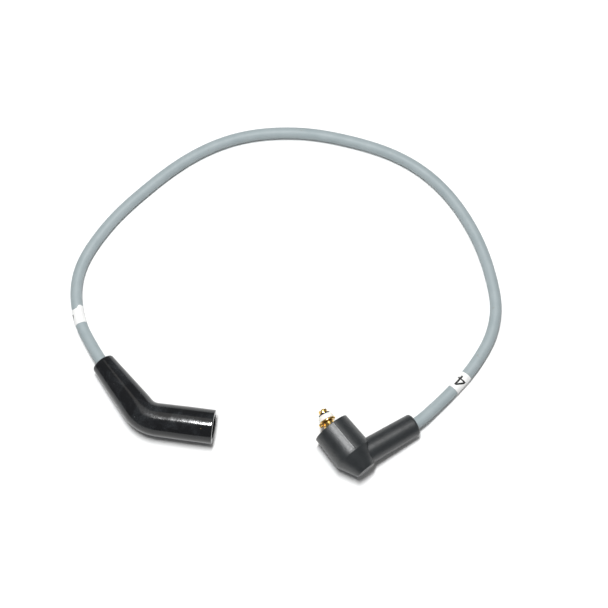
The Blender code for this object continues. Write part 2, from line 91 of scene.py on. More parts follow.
CONTACT_AZIMUTH = 116.5
BARREL_BACK = -19.0
BARREL_END = 3.85
BARREL_R = 3.8
BARREL_BORE_R = 2.75
BARREL_SLOTS = 6
BARREL_FIRST_SLOT = -14.0
FLANGE_BACK = 4.1
FLANGE_END = 5.1
FLANGE_R = 5.0
EAR_OFFSET = 4.6
EAR_LENGTH = 2.2
COLLAR_BACK = 5.3
COLLAR_END = 8.65
COLLAR_R = 4.6
RING_BACK = 8.8
RING_END = 9.35
RING_R = 3.5
CROWN_BACK = 9.55
CROWN_END = 11.9
CROWN_R = 2.6
COLLAR_BORE_R = 1.85
PIN_R = 1.5
PIN_BACK = 1.1
AXIS_R = 0.3

CABLE_R = 3.5
FILM_R = CABLE_R + 0.13
FILM_INNER_R = CABLE_R + 0.02
CABLE_REST_Z = 3.58
CABLE_ROUTE = [
    (-99.4, 45.3, 5.3), (-104.8, 55.1, 4.1), (-108.6, 66.2, 3.9), (-110.4, 77.8, 3.7),
    (-109.8, 89.6, 3.58), (-106.4, 101.0, 3.58), (-100.8, 111.6, 3.58), (-87.4, 130.0, 3.58),
    (-71.2, 146.5, 3.58), (-53.6, 161.8, 3.58), (-34.0, 174.6, 3.58), (-12.2, 183.2, 3.58),
    (10.8, 186.6, 3.58), (34.0, 185.8, 3.58), (56.8, 181.2, 3.58), (79.0, 174.0, 3.58),
    (99.4, 162.8, 3.58), (116.4, 147.0, 3.58), (129.6, 127.4, 3.58), (139.0, 105.6, 3.58),
    (144.4, 83.0, 3.58), (145.5, 70.9, 3.58), (144.0, 59.2, 3.58), (140.2, 48.2, 3.58),
    (134.5, 38.2, 3.7), (127.7, 28.6, 3.9), (120.2, 20.1, 3.95), (112.2, 11.8, 4.4),
    (103.6, 3.6, 5.5),
]
PLUG_MARKER_PLACE = (29.2, 40.4)
CONTACT_MARKER_PLACE = (32.8, 44.9)


def azimuth(degrees):
    angle = math.radians(degrees)
    return Vector((math.cos(angle), math.sin(angle), 0.0))


PLUG_CABLE_END = PLUG_BEND + azimuth(PLUG_CABLE_AZIMUTH) * PLUG_CABLE_LEG
PLUG_CABLE_END.z = PLUG_CABLE_Z
PLUG_MOUTH = PLUG_BEND + azimuth(PLUG_MOUTH_AZIMUTH) * PLUG_MOUTH_LEG
PLUG_MOUTH.z = PLUG_MOUTH_Z
PLUG_IN = (PLUG_BEND - PLUG_CABLE_END).normalized()
PLUG_OUT = (PLUG_MOUTH - PLUG_BEND).normalized()
BOOT_OUT = azimuth(BOOT_AZIMUTH)
ELBOW = BOOT_MOUTH - BOOT_OUT * ELBOW_DEPTH
ARM_END = ELBOW + azimuth(ARM_AZIMUTH) * ARM_LENGTH
ARM_END.z = ARM_END_Z
ARM_OUT = (ARM_END - ELBOW).normalized()
CONTACT_OUT = azimuth(CONTACT_AZIMUTH)
UP = Vector((0.0, 0.0, 1.0))


# ---------------------------------------------------------------- node and mesh tools

class Nodes:
    """A material's node tree, with short calls for the nodes that these materials use."""

    def __init__(self, name):
        self.material = bpy.data.materials.new(name)
        self.material.use_nodes = True
        self.tree = self.material.node_tree
        self.shader = self.tree.nodes["Principled BSDF"]
        self.place = self.tree.nodes.new("ShaderNodeTexCoord").outputs["Object"]

    def link(self, source, target):
        self.tree.links.new(source, target)

    def set(self, **values):
        for key, value in values.items():
            self.shader.inputs[key.replace("_", " ")].default_value = value

    def stretched(self, scale):
        """Object coordinates, scaled unevenly."""
        node = self.tree.nodes.new("ShaderNodeMapping")
        node.inputs["Scale"].default_value = scale
        self.link(self.place, node.inputs["Vector"])
        return node.outputs["Vector"]

    def noise(self, size_mm, detail=4.0, roughness=0.55, distortion=0.0):
        """Noise whose features are about size_mm across."""
        node = self.tree.nodes.new("ShaderNodeTexNoise")
        node.inputs["Scale"].default_value = 1.0 / (size_mm * MM)
        node.inputs["Detail"].default_value = detail
        node.inputs["Roughness"].default_value = roughness
        node.inputs["Distortion"].default_value = distortion
        self.link(self.place, node.inputs["Vector"])
        return node.outputs["Fac"]

    def spots(self, cell_mm, radius_mm):
        """1 inside sparse round spots, one to a Voronoi cell."""
        node = self.tree.nodes.new("ShaderNodeTexVoronoi")
        node.inputs["Scale"].default_value = 1.0 / (cell_mm * MM)
        node.inputs["Randomness"].default_value = 1.0
        self.link(self.place, node.inputs["Vector"])
        edge = radius_mm / cell_mm
        return self.ramp(node.outputs["Distance"], (edge * 0.6, 1.0), (edge, 0.0))

    def ramp(self, value, *stops):
        """Map a value through grey or colour stops: (position, grey or (r, g, b))."""
        node = self.tree.nodes.new("ShaderNodeValToRGB")
        elements = node.color_ramp.elements
        while len(elements) < len(stops):
            elements.new(0.5)
        for element, (position, colour) in zip(elements, stops):
            element.position = position
            rgb = colour if isinstance(colour, tuple) else (colour, colour, colour)
            element.color = (*rgb, 1.0)
        self.link(value, node.inputs["Fac"])
        return node.outputs["Color"]

    def mix(self, factor, first, second):
        """Mix two colours; each may be a socket or an (r, g, b)."""
        node = self.tree.nodes.new("ShaderNodeMix")
        node.data_type = "RGBA"
        for socket, value in ((node.inputs[0], factor), (node.inputs[6], first), (node.inputs[7], second)):
            if isinstance(value, bpy.types.NodeSocket):
                self.link(value, socket)
            elif isinstance(value, tuple):
                socket.default_value = (*value, 1.0)
            else:
                socket.default_value = value
        return node.outputs[2]

    def product(self, first, second):
        node = self.tree.nodes.new("ShaderNodeMath")
        node.operation = "MULTIPLY"
        for socket, value in zip(node.inputs, (first, second)):
            if isinstance(value, bpy.types.NodeSocket):
                self.link(value, socket)
            else:
                socket.default_value = value
        return node.outputs[0]

    def bump(self, *layers):
        """Stack bump layers, each (height socket, depth in mm), onto the shader's normal."""
        normal = None
        for height, depth_mm in layers:
            node = self.tree.nodes.new("ShaderNodeBump")
            node.inputs["Strength"].default_value = 1.0
            node.inputs["Distance"].default_value = depth_mm * MM
            self.link(height, node.inputs["Height"])
            if normal:
                self.link(normal, node.inputs["Normal"])
            normal = node.outputs["Normal"]
        self.link(normal, self.shader.inputs["Normal"])


def silicone_cable():
    n = Nodes("cable_silicone")
    tone = n.ramp(n.noise(9.0, 5.0), (0.30, (0.318, 0.374, 0.388)), (0.70, (0.362, 0.416, 0.430)))
    grime = n.product(n.ramp(n.noise(5.0, 3.0, 0.6, 0.6), (0.66, 0.0), (0.76, 1.0)),
                      n.ramp(n.noise(0.7, 3.0), (0.45, 0.0), (0.65, 0.8)))
    n.link(n.mix(grime, tone, (0.27, 0.19, 0.13)), n.shader.inputs["Base Color"])
    n.link(n.ramp(n.noise(2.0, 4.0), (0.3, 0.46), (0.7, 0.58)), n.shader.inputs["Roughness"])
    n.set(Specular_IOR_Level=0.35)
    n.bump((n.noise(0.25, 3.0), 0.012), (n.noise(3.0, 2.0), 0.05))
    return n.material


def gloss_rubber():
    n = Nodes("plug_rubber")
    haze = n.product(n.ramp(n.noise(11.0, 4.0, 0.6, 0.4), (0.46, 0.0), (0.68, 1.0)),
                     n.ramp(n.noise(0.8, 4.0, 0.7), (0.40, 0.25), (0.65, 1.0)))
    black = n.mix(haze, (0.0085, 0.009, 0.010), (0.034, 0.038, 0.042))
    lint = n.mix(n.spots(3.6, 0.13), black, (0.30, 0.31, 0.32))
    n.link(n.mix(n.spots(10.0, 0.34), lint, (0.36, 0.24, 0.12)), n.shader.inputs["Base Color"])
    n.link(n.mix(haze, (0.11, 0.11, 0.11), (0.24, 0.24, 0.24)), n.shader.inputs["Roughness"])
    n.set(Specular_IOR_Level=0.5)
    n.bump((n.noise(0.35, 3.0), 0.006), (n.noise(4.5, 2.0), 0.05), (n.spots(3.6, 0.13), 0.05))
    return n.material


def satin_rubber():
    n = Nodes("boot_rubber")
    cloud = n.noise(7.0, 4.0, 0.6)
    n.link(n.ramp(cloud, (0.3, (0.012, 0.0145, 0.016)), (0.7, (0.020, 0.0235, 0.0255))),
           n.shader.inputs["Base Color"])
    n.link(n.ramp(n.noise(1.2, 5.0, 0.7), (0.3, 0.34), (0.7, 0.46)), n.shader.inputs["Roughness"])
    n.set(Specular_IOR_Level=0.85)
    n.bump((n.noise(0.30, 4.0, 0.7), 0.06), (n.noise(2.5, 2.0), 0.06))
    return n.material


def brass(name="brass", dull=0.0):
    n = Nodes(name)
    stain = n.ramp(n.noise(1.6, 4.0, 0.6), (0.45, 0.0), (0.75, 1.0))
    bright = (0.93, 0.62, 0.20)
    n.link(n.mix(n.product(stain, 0.35 + dull), bright, (0.42, 0.27, 0.10)), n.shader.inputs["Base Color"])
    n.link(n.mix(stain, (0.16, 0.16, 0.16), (0.34, 0.34, 0.34)), n.shader.inputs["Roughness"])
    n.set(Metallic=1.0)
    n.bump((n.noise(0.25, 3.0), 0.006))
    return n.material


def spring_wire():
    n = Nodes("spring_steel")
    n.link(n.ramp(n.noise(0.8), (0.3, (0.50, 0.50, 0.50)), (0.7, (0.66, 0.66, 0.67))),
           n.shader.inputs["Base Color"])
    n.link(n.ramp(n.noise(0.5), (0.3, 0.22), (0.7, 0.36)), n.shader.inputs["Roughness"])
    n.set(Metallic=1.0)
    return n.material


# The collar's cream-white colour is a painted highlight: the whole part is coloured white to stand in for the
# glare on the band.
def glare_collar_material():
    n = Nodes("nylon")
    n.link(n.ramp(n.noise(2.5), (0.3, (0.90, 0.885, 0.80)), (0.7, (0.96, 0.95, 0.89))),
           n.shader.inputs["Base Color"])
    n.link(n.ramp(n.noise(0.8), (0.3, 0.28), (0.7, 0.40)), n.shader.inputs["Roughness"])
    n.set(Subsurface_Weight=0.15, Subsurface_Scale=0.001)
    n.bump((n.noise(0.4), 0.008))
    return n.material


def marker_film():
    n = Nodes("marker_film")
    dirt = n.ramp(n.noise(1.4, 5.0, 0.7), (0.60, 0.0), (0.85, 0.5))
    n.link(n.mix(dirt, (0.90, 0.90, 0.885), (0.62, 0.60, 0.55)), n.shader.inputs["Base Color"])
    n.link(n.ramp(n.noise(0.9), (0.3, 0.40), (0.7, 0.55)), n.shader.inputs["Roughness"])
    n.bump((n.noise(0.35, 4.0), 0.012))
    return n.material


def plain_matt(name, low, high, size_mm, roughness):
    """A matt material whose colour drifts between two tones."""
    n = Nodes(name)
    n.link(n.ramp(n.noise(size_mm, 5.0, 0.65), (0.3, low), (0.7, high)), n.shader.inputs["Base Color"])
    n.link(n.ramp(n.noise(size_mm * 0.7), (0.3, roughness - 0.08), (0.7, roughness + 0.08)),
           n.shader.inputs["Roughness"])
    n.bump((n.noise(size_mm * 0.5, 3.0), 0.02))
    return n.material


def glass_braid():
    n = Nodes("glass_braid")
    waves = []
    for turn in (1.0, -1.0):
        wave = n.tree.nodes.new("ShaderNodeTexWave")
        wave.inputs["Scale"].default_value = 450.0
        wave.inputs["Distortion"].default_value = 0.4
        n.link(n.stretched((1.0, turn, 1.0)), wave.inputs["Vector"])
        waves.append(wave.outputs["Fac"])
    weave = n.product(*waves)
    n.link(n.ramp(weave, (0.0, (0.46, 0.44, 0.38)), (0.6, (0.78, 0.76, 0.70))), n.shader.inputs["Base Color"])
    n.set(Roughness=0.75)
    n.bump((weave, 0.05))
    return n.material


CABLE_LOOK = silicone_cable()
PLUG_LOOK = gloss_rubber()
BOOT_LOOK = satin_rubber()
BRASS_LOOK = brass()
DULL_BRASS_LOOK = brass("brass_dull", 0.5)
# The collar's look, cream-white all over as a painted highlight.
GLARE_COLLAR_LOOK = glare_collar_material()
FILM_LOOK = marker_film()
INK_LOOK = plain_matt("marker_ink", (0.010, 0.010, 0.010), (0.03, 0.03, 0.03), 0.6, 0.55)
SEAL_LOOK = plain_matt("seal_rubber", (0.010, 0.010, 0.010), (0.022, 0.022, 0.023), 1.0, 0.50)
BRAID_LOOK = glass_braid()
CORE_SHEATH_LOOK = plain_matt("core_insulation", (0.70, 0.69, 0.65), (0.80, 0.79, 0.75), 3.0, 0.6)
CARBON_LOOK = plain_matt("carbon_core", (0.02, 0.02, 0.02), (0.05, 0.05, 0.05), 0.4, 0.7)
WIRE_LOOK = spring_wire()


def placed(name, data):
    """A new object in the scene."""
    made = bpy.data.objects.new(name, data)
    bpy.context.scene.collection.objects.link(made)
    return made


def finish_mesh(name, bm, look, body, sharp=35.0):
    """Make the bmesh a smooth-shaded piece, facing outwards, that rides on a body."""
    if bm.calc_volume(signed=True) < 0.0:
        bmesh.ops.reverse_faces(bm, faces=bm.faces)
    mesh = bpy.data.meshes.new(name)
    bm.to_mesh(mesh)
    bm.free()
    mesh.shade_smooth()
    mesh.set_sharp_from_angle(angle=math.radians(sharp))
    mesh.materials.append(look)
    piece = placed(name, mesh)
    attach(piece, body)
    return piece


def ring_frame(tangent):
    """Sideways and upward unit vectors square to a nearly level tangent."""
    side = tangent.cross(UP).normalized()
    return side, side.cross(tangent)


def turns(count):
    """Evenly spaced angles, once round."""
    return [2.0 * math.pi * i / count for i in range(count)]


def spoke(side, up, angle):
    """The direction at an angle from up, turning towards side."""
    return side * math.sin(angle) + up * math.cos(angle)


def loft(rings, closed):
    """Quads between rings of points; closed joins the last ring to the first, else both ends are capped."""
    bm = bmesh.new()
    rows = [[bm.verts.new(p * MM) for p in ring] for ring in rings]
    sides = len(rows[0])
    pairs = list(zip(rows, rows[1:])) + ([(rows[-1], rows[0])] if closed else [])
    for first, second in pairs:
        for i in range(sides):
            j = (i + 1) % sides
            bm.faces.new((first[i], first[j], second[j], second[i]))
    if not closed:
        bm.faces.new(rows[0][::-1])
        bm.faces.new(rows[-1])
    bmesh.ops.recalc_face_normals(bm, faces=bm.faces)
    return bm


def turned(axis_point, axis, profile, sides, closed=True, swell=None):
    """Turn (distance along the axis, radius) points about an axis; swell adds to the radius."""
    side, up = ring_frame(axis)
    rings = []
    for along, radius in profile:
        ring = []
        for angle in turns(sides):
            r = radius + (swell(along, angle, radius) if swell else 0.0)
            ring.append(axis_point + axis * along + spoke(side, up, angle) * r)
        rings.append(ring)
    return loft(rings, closed)


def rounded(corners, steps=5):
    """Round the corners of an outline: (along, radius, corner radius) in, (along, radius) out."""
    points = []
    count = len(corners)
    for i, (x, y, r) in enumerate(corners):
        here = Vector((x, y))
        if r <= 0.0:
            points.append((x, y))
            continue
        before = (Vector(corners[i - 1][:2]) - here).normalized()
        after = (Vector(corners[(i + 1) % count][:2]) - here).normalized()
        start, end = here + before * r, here + after * r
        for k in range(steps + 1):
            t = k / steps
            p = start * (1 - t)**2 + here * 2 * t * (1 - t) + end * t**2
            points.append((p.x, p.y))
    return points


def divided(points, step, closed=True):
    """Split an outline's long runs so that no run is longer than the step."""
    out = []
    following = points[1:] + points[:1] if closed else points[1:]
    for start, end in zip(points, following):
        runs = max(1, math.ceil(math.dist(start, end) / step))
        for k in range(runs):
            share = k / runs
            out.append((start[0] + (end[0] - start[0]) * share, start[1] + (end[1] - start[1]) * share))
    return out if closed else [*out, points[-1]]


def solid(name, bm):
    """A helper solid for Boolean work."""
    mesh = bpy.data.meshes.new(name)
    bm.to_mesh(mesh)
    bm.free()
    return placed(name, mesh)


def box_tool(name, centre, axes, size):
    """A box for cutting, placed by its centre and three axes."""
    bm = bmesh.new()
    bmesh.ops.create_cube(bm, size=1.0)
    bmesh.ops.scale(bm, vec=Vector(size) * MM, verts=bm.verts)
    bm.transform(Matrix.Translation(centre * MM) @ Matrix(axes).transposed().to_4x4())
    return solid(name, bm)


def boolean(target, tools, operation):
    """Apply exact Booleans to the target's mesh, at a thousand times its size, and remove the tools."""
    for shape in (target, *tools):
        shape.data.transform(Matrix.Scale(1.0 / MM, 4))
    for tool in tools:
        modifier = target.modifiers.new("boolean", "BOOLEAN")
        modifier.operation = operation
        modifier.solver = "EXACT"
        modifier.object = tool
    apply_modifiers(target)
    target.data.transform(Matrix.Scale(MM, 4))
    for tool in tools:
        bpy.data.objects.remove(tool)


def apply_modifiers(target):
    """Bake the modifiers into the mesh."""
    evaluated = target.evaluated_get(bpy.context.evaluated_depsgraph_get())
    mesh = bpy.data.meshes.new_from_object(evaluated)
    mesh.name = target.name
    target.modifiers.clear()
    target.data = mesh


def weld(target, distance_mm):
    """Close the tiny slits that Booleans leave."""
    bm = bmesh.new()
    bm.from_mesh(target.data)
    bmesh.ops.remove_doubles(bm, verts=bm.verts, dist=distance_mm * MM)
    bmesh.ops.dissolve_degenerate(bm, edges=bm.edges, dist=distance_mm * MM)
    bm.to_mesh(target.data)
    bm.free()


def shade(target, sharp):
    target.data.shade_smooth()
    target.data.set_sharp_from_angle(angle=math.radians(sharp))


def soft_noise(seed, point, size):
    """Smooth repeatable waviness of about -1 to 1, from a few sines."""
    total = 0.0
    for k in range(4):
        turn = seed * 1.7 + k * 2.1
        axis = Vector((math.cos(turn), math.sin(turn * 1.3), math.sin(turn))).normalized()
        total += math.sin(axis.dot(point) * 2.0 * math.pi / (size * (1.0 + 0.35 * k)) + seed * 3.1 + k)
    return total / 4.0


# ---------------------------------------------------------------- cable

SPLINE_STEPS = 16
CABLE_KNOTS = 260


def clamped_spline(points, start_tangent, end_tangent):
    """Dense points on the cubic spline through the points, leaving and arriving along the tangents."""
    knots = np.array([tuple(p) for p in points])
    gaps = np.linalg.norm(np.diff(knots, axis=0), axis=1)
    count = len(knots)
    system = np.zeros((count, count))
    right = np.zeros((count, 3))
    system[0, 0] = system[-1, -1] = 1.0
    right[0] = tuple(start_tangent)
    right[-1] = tuple(end_tangent)
    for i in range(1, count - 1):
        before, after = gaps[i - 1], gaps[i]
        system[i, i - 1:i + 2] = (1.0 / before, 2.0 / before + 2.0 / after, 1.0 / after)
        right[i] = 3.0 * ((knots[i] - knots[i - 1]) / before**2 + (knots[i + 1] - knots[i]) / after**2)
    slopes = np.linalg.solve(system, right)
    dense = []
    for i in range(count - 1):
        for t in np.arange(SPLINE_STEPS) / SPLINE_STEPS:
            dense.append(
                (2*t**3 - 3*t**2 + 1) * knots[i] + (t**3 - 2*t**2 + t) * gaps[i] * slopes[i]
                + (3*t**2 - 2*t**3) * knots[i + 1] + (t**3 - t**2) * gaps[i] * slopes[i + 1])
    dense.append(knots[-1])
    return np.array(dense)


def cable_centreline():
    """The whole centreline, from the cut end in the plug boot to the cut end in the arm."""
    route = [PLUG_CABLE_END, *(Vector(p) for p in CABLE_ROUTE), ARM_END]
    free = clamped_spline(route, -PLUG_IN, -ARM_OUT)
    free[:, 2] = np.maximum(free[:, 2], CABLE_REST_Z)
    head = [tuple(PLUG_CABLE_END + PLUG_IN * d) for d in (CABLE_IN_PLUG, 20.0, 12.0, 5.0)]
    tail = [tuple(ARM_END - ARM_OUT * d) for d in (5.0, 12.0, 20.0, CABLE_IN_ARM)]
    return np.array([*head, *map(tuple, free), *tail])


CENTRELINE = cable_centreline()
REACH = np.concatenate(([0.0], np.cumsum(np.linalg.norm(np.diff(CENTRELINE, axis=0), axis=1))))
CABLE_LENGTH = float(REACH[-1])


def on_cable(distance):
    """Point and unit tangent of the cable at a distance from its cut end in the plug boot."""
    def at(d):
        return Vector([float(np.interp(d, REACH, CENTRELINE[:, k])) for k in range(3)])
    return at(distance), (at(distance + 0.8) - at(distance - 0.8)).normalized()


def make_cable():
    curve = bpy.data.curves.new("cable", "CURVE")
    curve.dimensions = "3D"
    curve.twist_mode = "Z_UP"
    curve.bevel_depth = CABLE_R * MM
    curve.bevel_resolution = 14
    curve.use_fill_caps = True
    spline = curve.splines.new("POLY")
    spline.points.add(CABLE_KNOTS - 1)
    for i, knot in enumerate(spline.points):
        knot.co = (*(on_cable(CABLE_LENGTH * i / (CABLE_KNOTS - 1))[0] * MM), 1.0)
    spline.use_smooth = True
    curve.materials.append(CABLE_LOOK)
    cable = placed("cable", curve)
    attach(cable, "lead")
    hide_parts("cable_jacket")
    return cable


def on_jacket(distance, angle, radius):
    """The point at an angle from the top of the cable, at a radius from its centreline."""
    centre, tangent = on_cable(distance)
    side, up = ring_frame(tangent)
    return centre + spoke(side, up, angle) * radius


def make_marker(name, node, start, end, start_edge, end_edge):
    """A film band round the cable, lapped underneath; each edge is a function of the angle that adds to
    its distance."""
    around, along = 96, 14
    rings = []
    stations = [(k / along, FILM_R) for k in range(along + 1)]
    stations += [(1.0 - k / along, FILM_INNER_R) for k in range(along + 1)]
    for share, radius in stations:
        ring = []
        for angle in turns(around):
            low, high = start + start_edge(angle), end + end_edge(angle)
            lap = 0.05 * math.sin(angle * 0.5)**8 if radius == FILM_R else 0.0
            ring.append(on_jacket(low + (high - low) * share, angle, radius + lap))
        rings.append(ring)
    piece = finish_mesh(name, loft(rings, closed=True), FILM_LOOK, "lead")
    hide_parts(node)
    return piece


def numeral_four():
    """A flat, filled figure four, one unit tall, as a bmesh cut into narrow strips."""
    outline = [(0.50, 0.0), (0.67, 0.0), (0.67, 0.23), (0.82, 0.23), (0.82, 0.37), (0.67, 0.37),
               (0.67, 1.0), (0.47, 1.0), (0.0, 0.40), (0.0, 0.23), (0.50, 0.23)]
    window = [(0.50, 0.37), (0.50, 0.77), (0.17, 0.37)]
    curve = bpy.data.curves.new("numeral", "CURVE")
    curve.dimensions = "2D"
    curve.fill_mode = "BOTH"
    curve.extrude = 0.5
    for points in (outline, window):
        spline = curve.splines.new("POLY")
        spline.points.add(len(points) - 1)
        for knot, (x, y) in zip(spline.points, points):
            knot.co = (x - 0.41, y - 0.5, 0.0, 1.0)
        spline.use_cyclic_u = True
    shape = placed("numeral", curve)
    mesh = bpy.data.meshes.new_from_object(shape.evaluated_get(bpy.context.evaluated_depsgraph_get()))
    bpy.data.objects.remove(shape)
    bm = bmesh.new()
    bm.from_mesh(mesh)
    bmesh.ops.remove_doubles(bm, verts=bm.verts, dist=1e-5)
    for normal in ((1.0, 0.0, 0.0), (0.0, 1.0, 0.0)):
        for k in range(-11, 12):
            bmesh.ops.bisect_plane(
                bm, geom=bm.verts[:] + bm.edges[:] + bm.faces[:], dist=1e-6,
                plane_co=Vector(normal) * (k * 0.045 + 0.001), plane_no=normal)
    return bm


def make_numeral(name, middle, angle, height, towards_contact):
    """The figure four on a marker band, its top towards one end of the cable."""
    bm = numeral_four()
    way = 1.0 if towards_contact else -1.0
    for vertex in bm.verts:
        x, y, z = vertex.co
        radius = FILM_R + (0.06 if z > 0 else -0.05)
        vertex.co = on_jacket(middle + way * y * height, angle + way * x * height / FILM_R, radius) * MM
    bmesh.ops.recalc_face_normals(bm, faces=bm.faces)
    return finish_mesh(name, bm, INK_LOOK, "lead")


def torn_edge(angle):
    """How far the torn end of the plug marker reaches, by angle from the top of the cable."""
    turn = (math.degrees(angle) + 180.0) % 360.0 - 180.0
    return float(np.interp(
        turn, [-180, -120, -70, -50, -30, -12, -4, 6, 20, 38, 60, 80, 95, 130, 180],
        [0.2, 0.0, -0.2, 0.1, -0.1, 0.3, 0.1, 1.0, 2.1, 2.3, 1.7, 1.9, 0.9, 0.5, 0.2]))


def clean_edge(angle):
    return 0.10 * math.sin(angle + 0.7)


def make_markers():
    start, end = (CABLE_IN_PLUG + d for d in PLUG_MARKER_PLACE)
    plug = [make_marker("plug_marker_band", "plug_marker", start, end - 1.7, clean_edge, torn_edge),
            make_numeral("plug_marker_numeral", (start + end) / 2 - 0.6, math.radians(-98.0), 6.6, False)]
    far = CABLE_LENGTH - CABLE_IN_ARM
    start, end = far - CONTACT_MARKER_PLACE[1], far - CONTACT_MARKER_PLACE[0]
    contact = [make_marker("contact_marker_band", "contact_marker", start, end, clean_edge, clean_edge),
               make_numeral("contact_marker_numeral", (start + end) / 2 + 0.2, math.radians(-2.0), 7.2, True)]
    return plug + contact


# ---------------------------------------------------------------- plug boot

LEG_STEPS = 20
BEND_STEPS = 24


def plug_axis():
    """Dense centreline of the bent boot, from its cable end to its mouth."""
    half = math.radians(180.0 - (PLUG_CABLE_AZIMUTH - PLUG_MOUTH_AZIMUTH)) / 2.0
    cut = PLUG_BEND_RADIUS * math.tan(half)
    start, end = PLUG_BEND - PLUG_IN * cut, PLUG_BEND + PLUG_OUT * cut
    points = [PLUG_CABLE_END.lerp(start, k / LEG_STEPS) for k in range(LEG_STEPS)]
    points += [start * (1 - t)**2 + PLUG_BEND * 2 * t * (1 - t) + end * t**2
               for t in (k / BEND_STEPS for k in range(BEND_STEPS))]
    points += [end.lerp(PLUG_MOUTH, k / LEG_STEPS) for k in range(LEG_STEPS + 1)]
    return np.array([tuple(p) for p in points]), (start - PLUG_CABLE_END).length


def make_plug_boot():
    line, bend_start = plug_axis()
    reach = np.concatenate(([0.0], np.cumsum(np.linalg.norm(np.diff(line, axis=0), axis=1))))
    length = float(reach[-1])
    bend_end = length - (PLUG_MOUTH - Vector(line[LEG_STEPS + BEND_STEPS])).length

    def at(d):
        return Vector([float(np.interp(d, reach, line[:, k])) for k in range(3)])

    def tangent(d):
        return (at(min(d + 1.2, length)) - at(max(d - 1.2, 0.0))).normalized()

    section = rounded([
        (0.0, CABLE_HOLE_R, 0.25), (0.0, PLUG_CABLE_R - 0.1, 1.5), (bend_start, PLUG_BEND_R, 5.0),
        (length - 14.0, PLUG_MOUTH_R, 4.0), (length, PLUG_MOUTH_R, 0.7), (length, PLUG_BORE_R, 0.45),
        (length - PLUG_BORE_DEPTH, PLUG_BORE_R, 0.3), (length - PLUG_BORE_DEPTH, SNAP_HOLE_R, 0.3),
        (bend_start - 4.0, SNAP_HOLE_R, 0.5), (bend_start - 10.0, FERRULE_HOLE_R, 0.4),
        (19.0, FERRULE_HOLE_R, 0.4), (18.0, CABLE_HOLE_R, 0.3)], 7)
    rings = []
    for d, radius in divided(section, 0.9):
        centre = at(d)
        side, up = ring_frame(tangent(d))
        ring = []
        for angle in turns(112):
            out = spoke(side, up, angle)
            wave = 0.0
            if radius > PLUG_CABLE_R:
                wave = 0.045 * soft_noise(1.0, centre + out * radius, 15.0)
                swell = math.exp(-((d - (bend_start + bend_end) / 2) / 7.0)**2)
                wave += 0.10 * swell * math.cos(2.0 * angle)
            ring.append(centre + out * (radius + wave))
        rings.append(ring)
    piece = finish_mesh("plug_boot_shell", loft(rings, closed=True), PLUG_LOOK, "lead", 50.0)
    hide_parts("plug_boot")


def make_plug_terminal():
    """The crimp ferrule, the neck and the slotted snap socket, in one piece."""
    sides, floor, hub_r = 64, 1.2, 0.5
    root = PLUG_BEND + PLUG_OUT * 3.0
    floor_point = PLUG_CABLE_END + PLUG_IN * (CABLE_IN_PLUG + 2.9)
    ferrule = rounded([
        (0.0, hub_r, 0.0), (0.0, FERRULE_R, 0.4), (FERRULE_LENGTH, FERRULE_R, 0.2),
        (FERRULE_LENGTH, FERRULE_BORE_R, 0.2), (floor, FERRULE_BORE_R, 0.2), (floor, hub_r, 0.0)], 4)
    piece = finish_mesh("plug_terminal_brass", turned(floor_point, -PLUG_IN, divided(ferrule, 1.2), sides),
                        BRASS_LOOK, "lead")
    path = [floor_point - PLUG_IN * 0.6, PLUG_BEND - PLUG_IN * 3.0, PLUG_BEND.lerp(root, 0.3),
            root + PLUG_OUT * 0.6]
    rings = []
    for before, here, after in zip([path[0], *path], path, [*path[1:], path[-1]]):
        across, above = ring_frame((after - before).normalized())
        rings.append([here + spoke(across, above, angle) * NECK_R for angle in turns(32)])
    socket = rounded([
        (floor, hub_r, 0.0), (0.0, hub_r, 0.0), (0.0, SNAP_R, 0.6), (SNAP_LENGTH, SNAP_R, 0.35),
        (SNAP_LENGTH, SNAP_BORE_R, 0.35), (floor, SNAP_BORE_R, 0.3)], 4)
    boolean(piece, [solid("neck", loft(rings, closed=False)),
                    solid("socket", turned(root, PLUG_OUT, divided(socket, 1.2), sides))], "UNION")
    side, up = ring_frame(PLUG_OUT)
    slots = []
    for turn in (0.0, math.pi / 2):
        across = side * math.cos(turn) + up * math.sin(turn)
        slots.append(box_tool(f"slot_{len(slots)}", root + PLUG_OUT * 9.5,
                              (across, PLUG_OUT.cross(across), PLUG_OUT), (0.9, 12.0, 9.0)))
    boolean(piece, slots, "DIFFERENCE")
    shade(piece, 35.0)
    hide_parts("plug_terminal")


# ---------------------------------------------------------------- contact boot

def land_swell(along, angle, radius):
    """A fine moulding step along the top of the socket, ending at the shoulder."""
    if radius < BOOT_MOUTH_R - 0.8 or along < -BOOT_SHOULDER + 0.35:
        return 0.0
    turn = (math.degrees(angle) + 180.0) % 360.0 - 180.0
    rise = float(np.interp(turn, [-100, -62, 3.5, 5.0, 6.5, 8.5], [0.0, 0.22, 0.22, 0.30, 0.0, 0.0]))
    return rise * float(np.interp(along, [-BOOT_SHOULDER + 0.35, -BOOT_SHOULDER + 0.6], [0.0, 1.0]))


